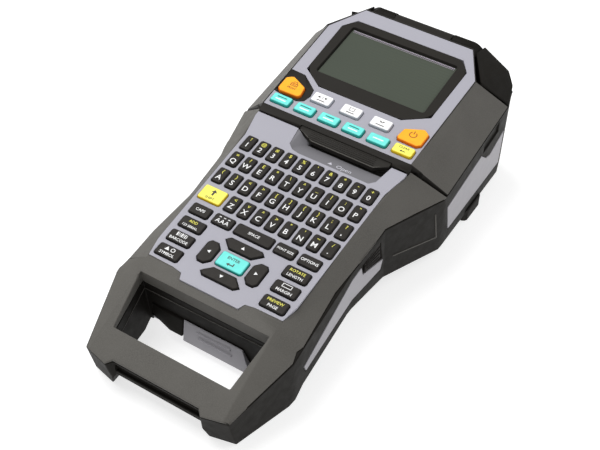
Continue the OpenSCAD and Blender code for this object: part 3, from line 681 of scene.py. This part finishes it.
# Colour, sign with its offset and size, and word with its height, size and weight
COLOURED_KEYS = {
    "shift_key": ("key_yellow", ARROW, (0, 1.2), 2.0, "SHIFT", -3.6, 2.2, 0.02),
    "enter_key": ("key_teal", RETURN_ARROW, (-0.2, -2.0), 1.0, "ENTER", 0.9, 2.4, 0.03),
    "clear_key": ("key_yellow", BACK_ARROW, (0, -1.4), 1.0, "CLEAR", 0.5, 2.1, 0.02),
}


def coloured_keys():
    for node, (look, sign, offset, size, word, rise, height, weight) in COLOURED_KEYS.items():
        x, y, z = caps(node, look, fillet=0.8)[0]
        marks = bmesh.new()
        add_shape(marks, sign, (x + offset[0], y + offset[1], z), 0, size)
        add_text(marks, word, (x, y + rise, z), height, weight)
        legend(node + "_marks", marks, "dark_ink", node)


def mode_keys():
    """Teal keys, with a dark line over a white one. The last has only the white one."""
    for i in range(1, 6):
        node = f"mode_key_{i}"
        x, y, z = caps(node, "key_teal", fillet=0.8)[0]
        dark, white = bmesh.new(), bmesh.new()
        if i < 5:
            add_stroke(dark, (x, y + 1.0, z), 5.2 + 0.8 * (i % 3), 0.75)
        add_stroke(white, (x, y - (0.9 if i < 5 else 0.1), z), 5.8 + 0.6 * (i % 2), 0.8)
        legend(node + "_line", dark, "teal_ink", node)
        legend(node + "_lower_line", white, "white_ink", node)


def menu_keys():
    """White keys, with a sign over a line: feed and cut, a file, and the settings."""
    for i in range(1, 4):
        node = f"menu_key_{i}"
        x, y, z = caps(node, "key_white", fillet=0.8)[0]
        marks = bmesh.new()
        add_stroke(marks, (x, y - 1.9, z), 5, 0.55)
        if i == 1:
            add_shape(marks, TRIANGLE, (x - 2.0, y + 0.6, z), 0, 0.9)
            add_stroke(marks, (x, y + 0.6, z), 0.22, 2.2)
            add_shape(marks, TRIANGLE, (x + 2.0, y + 0.6, z), 180, 0.9)
        if i == 2:
            add_strokes(marks, (x, y, z), ((0, 1.8, 3, 0.3), (0, -0.4, 3, 0.3),
                                           (-1.5, 0.7, 0.3, 2.4), (1.5, 0.7, 0.3, 2.4)))
        if i == 3:
            add_shape(marks, ARROW, (x - 0.6, y + 0.7, z), 40, 0.9)
            add_shape(marks, ARROW, (x + 0.9, y + 0.7, z), -40, 0.9)
        legend(node + "_icon", marks, "dark_ink", node)


def arc_points(radius, width, start, end):
    """Outline of a stroke of some width along an arc between two angles in degrees."""
    steps = 20
    angles = [math.radians(start + (end - start) * k / steps) for k in range(steps + 1)]
    outer, inner = ([(r * math.cos(a), r * math.sin(a)) for a in angles]
                    for r in (radius + width / 2, radius - width / 2))
    return outer + inner[::-1]


def orange_key(node):
    x, y, z = caps(node, "key_orange", corner=1.8, fillet=0.85, boxed=False)[0]
    return bmesh.new(), x, y, z


def power_marks():
    marks, x, y, z = orange_key("power_key")
    add_shape(marks, arc_points(2.0, 0.5, 125, 415), (x, y - 0.2, z))
    add_stroke(marks, (x, y - 0.2 + 1.6, z), 0.5, 2.4)
    legend("power_key_sign", marks, "orange_ink", "power_key")


def print_marks():
    """A printer with a sheet above it, over its word."""
    marks, x, y, z = orange_key("print_key")
    y += 0.6
    add_strokes(marks, (x, y, z), (
        (0, 0.9, 4.2, 0.4), (0, -1.0, 4.2, 0.4), (-2.0, 0, 0.4, 2.0), (2.0, 0, 0.4, 2.0),
        (0, 2.4, 2.4, 0.35), (-1.1, 1.7, 0.35, 1.4), (1.1, 1.7, 0.35, 1.4), (0, -0.1, 2.4, 0.35)))
    add_text(marks, "PRINT", (x, y - 3.6, z), 2.0, 0.02)
    legend("print_key_sign", marks, "orange_ink", "print_key")


# ---- Case -------------------------------------------------------------------

def handle_shoulder(place):
    """Whether a place is on the flat shoulder between the keyboard and the handle."""
    return -101.5 < place.y < -87 and abs(place.x) < 45


def low_corner(place):
    """Whether a place is on the thin edge where the left hinge corner runs out."""
    return place.x < -52 and place.y > 90 and place.z > -26


def lid():
    """Lid shell: its wings are in the case's colour, its front bar and its rim are black. Near the
    front, faces that look forward are black too, the wings' front faces included: painted shade where
    they sit in the gap's shadow.
    """
    low, high = deck_box("lid_panel")
    edge = high.x + 0.9
    front = low.y + 0.2
    bar_depth = 12
    bar_underside = 6

    def bar_rim_and_front_shade(middle, normal):
        # Forward-facing faces near the front: the black bar, and painted shade on the wings' front
        # faces.
        if middle.y < front + bar_depth and normal.y < -0.3:
            return True
        return abs(middle.x) < edge and (normal.z > -0.5 or middle.y < front + bar_underside)

    def thin_rim(place):
        return abs(place.x) < edge and place.z > -0.8

    soften("lid_shell", 0.45, ["warm_case", "gloss_black"], min_length=2, second=bar_rim_and_front_shade,
           sharp=thin_rim)


def shells():
    soften("upper_case", 0.55, "warm_case", min_length=2.5, sharp=handle_shoulder)
    soften("lower_case", 0.6, "dark_case", min_length=2.5, sharp=low_corner)
    lid()
    soften("head_trims", 0.25, "strip", min_length=2)
    soften("waist_trims", 0.25, "strip", min_length=2)
    soften("rear_feet", 1.6, "soft_black", min_length=3)
    soften("port_cover", 0.15, "soft_black")
    soften("battery_cover", 0.3, "strip", min_length=1.5)
    soften("lid_latch", 0.3, "gloss_black", min_length=1.5)


def add_frame(bm, outline, hole, low, high, fillet, slope):
    """Flat plate with a window, rounded at its outer edge and bevelled round the window."""
    outer = [(low, 0), (high - fillet, 0)] + quarter_round(high, fillet, 4)
    inner = [(high, -slope), (high - 0.4 * slope, -0.6 * slope), (low, 0)]
    ends = []
    for shape, levels in ((outline, outer), (hole, inner)):
        rings = [[bm.verts.new((p.x, p.y, z)) for p in inset(shape, d)] for z, d in levels]
        for first, second in zip(rings, rings[1:]):
            join_rings(bm, first, second)
        ends.append((rings[0], rings[-1]))
    for rings in ((ends[0][1], ends[1][0]), (ends[0][0], ends[1][1])):
        edges = [bm.edges.get((ring[i - 1], ring[i])) for ring in rings for i in range(len(ring))]
        bmesh.ops.triangle_fill(bm, use_beauty=True, edges=edges)


def bezel():
    """Display bezel, with the rounded corners of its outline and its window."""
    bm = welded("screen_bezel")
    points = [v.co.copy() for v in bm.verts]
    bm.free()
    low, high = corners(points)
    outline = spread_corners(outline_of(points))
    inside = [p for p in points if all((p.xy - corner).length > 0.5 for corner in outline)]
    made = bmesh.new()
    add_frame(made, rounded(outline, 12), rounded(rectangle(*corners(inside)), 1.4),
              low.z, high.z, fillet=0.25, slope=0.5)
    stand_in("bezel_moulding", made, "gloss_black", "screen_bezel")


def latch_ridges():
    """Five ridges along the latch, each a little higher than the one in front."""
    low, high = deck_box("lid_latch")
    front, pitch, rise = 19.6, 1.25, 0.05
    bm = bmesh.new()
    for k in range(5):
        y = front + pitch * k
        z = high.z - 0.12 - rise * (4 - k)
        rounded_bar(bm, (low.x + 9, y, z), (high.x - 10, y, z), 0.32)
    piece("latch_ridges", bm, "gloss_black", "latch")


def panel_edges():
    """Dark line between the lid's light panel and its wings."""
    top = deck_box("lid_panel")[1].z - 0.1
    shortest = 2
    points = {tuple(round(c, 1) for c in v) for v in outline_of(
        [TO_DECK @ v.co for v in nodes["lid_panel"].data.vertices])}
    bm = bmesh.new()
    for side in (-1, 1):
        line = sorted((p for p in points if p[0] * side > 0), key=lambda p: p[1])
        for start, end in zip(line, line[1:]):
            if abs(start[1] - end[1]) > shortest:
                rounded_bar(bm, (*start, top), (*end, top), 0.32)
    piece("panel_edges", bm, "gloss_black", "lid")


def latch_edge_highlight():
    """Painted highlight: a thin raised bar in the lighter case colour along the latch's lower edge."""
    z = deck_box("lid_latch")[1].z - 0.5
    line = [(-18.6, 23.2, z), (-9, 18.5, z), (28.6, 18.5, z), (35.7, 23.2, z)]
    raised_line("latch_edge_highlight", line, 0.22, "warm_case", "latch")


def handle_seam_highlights():
    """Fine raised ledge round the inside of the hand opening, in the lighter case colour as a painted
    highlight along its edge.
    """
    line = [(-33.95, -125.6, -24.5), (-37.5, -97.35, -17.5), (37.5, -97.35, -16),
            (33.95, -125.6, -23.5)]
    raised_line("handle_opening_highlight", line, 0.2, "warm_case", "case")


def facet_panel_highlights():
    """Raised edges of the shallow panel on the front right facet of the head, in the lighter case
    colour as a painted highlight along them.
    """
    line = [(53.6, -1.4, -38.3), (64.0, 31.0, -51.0), (63.2, 28.2, -29)]
    raised_line("facet_panel_edge_highlights", line, 0.4, "warm_case", "case")


def recess_painted_shade():
    """Floor of the finger recess, finely grained and in a darker grey: painted shade, as the tilted
    slope gets less light.
    """
    low, high = deck_box("lid_latch")
    bm = welded("deck_panel")
    bm.normal_update()

    def inside(face):
        middle = face.calc_center_median()
        return (low.x - 2 < middle.x < high.x + 2 and 7 < middle.y < high.y
                and middle.z < -1.45 and face.normal.z > 0.2)

    bmesh.ops.delete(bm, geom=[f for f in bm.faces if not inside(f)], context="FACES")
    bmesh.ops.translate(bm, verts=bm.verts, vec=(0, 0, 0.06))
    bmesh.ops.solidify(bm, geom=bm.faces[:], thickness=0.05)
    piece("recess_painted_shade", bm, "recess", "case")


SCOOP_MARK_Y = 10.8      # where the slope's printing sits along the deck


def scoop_plane():
    """Place of the slope in front of the latch: its z axis leaves the slope."""
    bm = welded("deck_panel")
    bm.normal_update()
    slopes = [f for f in bm.faces if 0.2 < f.normal.y < 0.6 and abs(f.normal.x) < 0.02]
    slope = max(slopes, key=lambda f: f.calc_area())
    normal = slope.normal.copy()
    point = slope.verts[0].co.copy()
    bm.free()
    middle = Vector((0, SCOOP_MARK_Y, point.z - (SCOOP_MARK_Y - point.y) * normal.y / normal.z))
    return Matrix.Translation(middle) @ turn_to(normal)


def open_mark():
    """Triangle and word printed on the slope of the finger recess."""
    bm = bmesh.new()
    lift = 0.1
    add_shape(bm, TRIANGLE, (7.2, 0.1, lift), 0, 1.3)
    add_text(bm, "Open", (15.6, -1.4, lift), 4.1, 0.0)
    bm.transform(scoop_plane())
    piece("open_mark", bm, "grey_ink", "case", smooth=False)


def display():
    """Two rows of contacts that show along the top edge of the display."""
    high = deck_box("lcd_module")[1]
    bezel_low, bezel_high = deck_box("screen_bezel")
    pads = bmesh.new()
    count = 66
    span = 65.0
    half_width = 0.33
    middle = (bezel_low.x + bezel_high.x) / 2
    for y, height in ((high.y - 4.7, 0.75), (high.y - 5.9, 0.3)):
        for k in range(count):
            x = middle - span / 2 + span * k / (count - 1)
            add_box(pads, (x - half_width, y - height / 2, high.z - 0.01),
                    (x + half_width, y + height / 2, high.z + 0.03))
    piece("display_contacts", pads, "lilac_dots", "lid")


CAD_LOOKS = {
    "battery_pack": "soft_black", "main_board": "circuit_board", "key_mat": "soft_black",
    "case_screws": "steel", "hinge_pin": "steel", "tape_cartridge": "cream",
    "tape_spool": "tape_roll", "ribbon_spool": "ribbon_roll", "platen_roller": "soft_black",
    "print_head": "steel", "feed_motor": "steel", "motor_pinion": "steel",
    "drive_gear": "acetal", "cutter_blade": "steel", "lcd_module": "display",
    "lid_board": "circuit_board", "deck_panel": "panel", "lid_panel": "panel",
}


def cad_finishes():
    """Gives every CAD node a procedural material, shown or replaced."""
    fallback = {"case": "dark_case", "lid": "warm_case"}
    for name, node in nodes.items():
        look = CAD_LOOKS.get(name, fallback.get(body_of[name], "key_black"))
        node.data.materials.clear()
        node.data.materials.append(LOOKS[look])


# ---- Stage ------------------------------------------------------------------

CAMERA_AZIMUTH = 32.81
CAMERA_ELEVATION = 50.96
CAMERA_ROLL = -1.79
CAMERA_PLACE = (197.8, -316.3, 412.9)
CAMERA_LENS = 63.29


def camera():
    """Camera above the front right corner. Its angles are measured in the deck's axes."""
    azimuth, elevation = math.radians(CAMERA_AZIMUTH), math.radians(CAMERA_ELEVATION)
    back = Vector((math.sin(azimuth) * math.cos(elevation),
                   -math.cos(azimuth) * math.cos(elevation), math.sin(elevation)))
    right = Vector((math.cos(azimuth), math.sin(azimuth), 0))
    turn = Matrix((right, back.cross(right), back)).transposed()
    turn = DECK_TURN @ turn @ Matrix.Rotation(math.radians(CAMERA_ROLL), 3, "Z")
    data = bpy.data.cameras.new("camera")
    data.lens = CAMERA_LENS
    data.sensor_width = 36
    data.clip_start = 0.01
    made = bpy.data.objects.new("camera", data)
    made.matrix_world = Matrix.Translation(DECK @ Vector(CAMERA_PLACE)) @ turn.to_4x4()
    bpy.context.scene.collection.objects.link(made)
    bpy.context.scene.camera = made


def floor():
    """Pale table top, lit a little from within so that it stays even."""
    half_width = 3
    bm = bmesh.new()
    bmesh.ops.create_grid(bm, x_segments=4, y_segments=4, size=half_width)
    mesh = bpy.data.meshes.new("floor")
    bm.to_mesh(mesh)
    bm.free()
    made = bpy.data.objects.new("floor", mesh)
    bpy.context.scene.collection.objects.link(made)
    paper = Nodes("pale_floor")
    tone = paper.spread(paper.noise(0.002, 2), 0, 1)
    grey = paper.mix(tone, (0.50, 0.50, 0.50), (0.52, 0.52, 0.52))
    inputs = paper.shader.inputs
    paper.link(grey, inputs["Base Color"])
    inputs["Roughness"].default_value = 0.9
    inputs["Emission Color"].default_value = (1, 1, 1, 1)
    inputs["Emission Strength"].default_value = 0.7
    mesh.materials.append(paper.material)


def area_light(name, place, power):
    """Round soft light that is aimed at the middle of the object."""
    aim = Vector((0, 0, 0.04))
    data = bpy.data.lights.new(name, "AREA")
    data.shape = "DISK"
    data.size = 0.8
    data.energy = power
    made = bpy.data.objects.new(name, data)
    made.location = place
    made.rotation_mode = "QUATERNION"
    made.rotation_quaternion = (aim - Vector(place)).to_track_quat("-Z", "Y")
    bpy.context.scene.collection.objects.link(made)


def lights():
    """White studio, a key light above on the left and a weak fill from the back right."""
    world = bpy.data.worlds.new("studio")
    bpy.context.scene.world = world
    world.use_nodes = True
    background = world.node_tree.nodes["Background"]
    background.inputs["Color"].default_value = (1, 1, 1, 1)
    background.inputs["Strength"].default_value = 0.42
    area_light("key", (-0.5, -0.1, 1.1), 12)
    area_light("fill", (0.7, 0.6, 0.75), 2.6)


# ---- The whole scene --------------------------------------------------------

cad_finishes()
shells()
letter_keys()
word_keys()
arrow_keys()
coloured_keys()
mode_keys()
menu_keys()
power_marks()
print_marks()
bezel()
latch_ridges()
panel_edges()
latch_edge_highlight()
handle_seam_highlights()
facet_panel_highlights()
recess_painted_shade()
open_mark()
display()
floor()
lights()
camera()
bpy.context.scene.view_settings.view_transform = "Standard"
